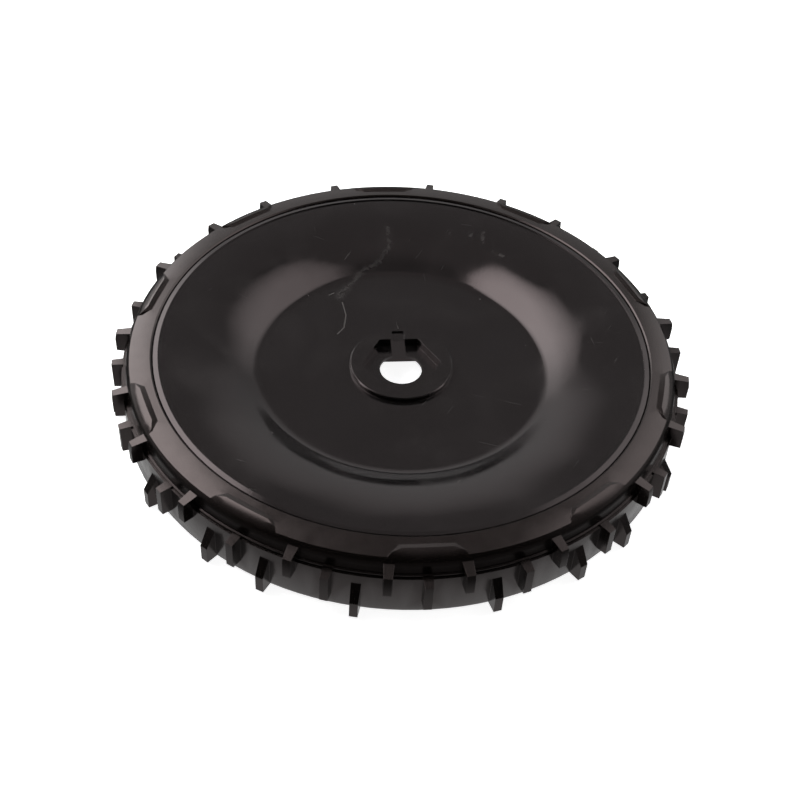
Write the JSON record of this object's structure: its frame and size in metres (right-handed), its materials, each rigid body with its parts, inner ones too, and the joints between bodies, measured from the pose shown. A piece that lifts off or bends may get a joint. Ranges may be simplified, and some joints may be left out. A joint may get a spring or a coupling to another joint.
{
  "type": "robotic mower wheel",
  "caption": "Dished plastic drive wheel for a small robotic mower, with a hexagonal hub socket and a rubber tyre carrying staggered tread cleats and raised shoulder pads.",
  "frame": {"origin": "on the axle line, in the plane of the tyre's back face that the wheel lies on", "axes": "+Z along the axle towards the dished outer face, +Y through the key notch of the hub"},
  "size_m": [0.205, 0.205, 0.0247],
  "materials": {
    "disc_plastic": "glossy black moulding with fine scratches",
    "tyre_rubber": "satin black rubber"
  },
  "bodies": {
    "root": {"wheel_disc": "disc_plastic", "tyre": "tyre_rubber"}
  },
  "joints": []
}
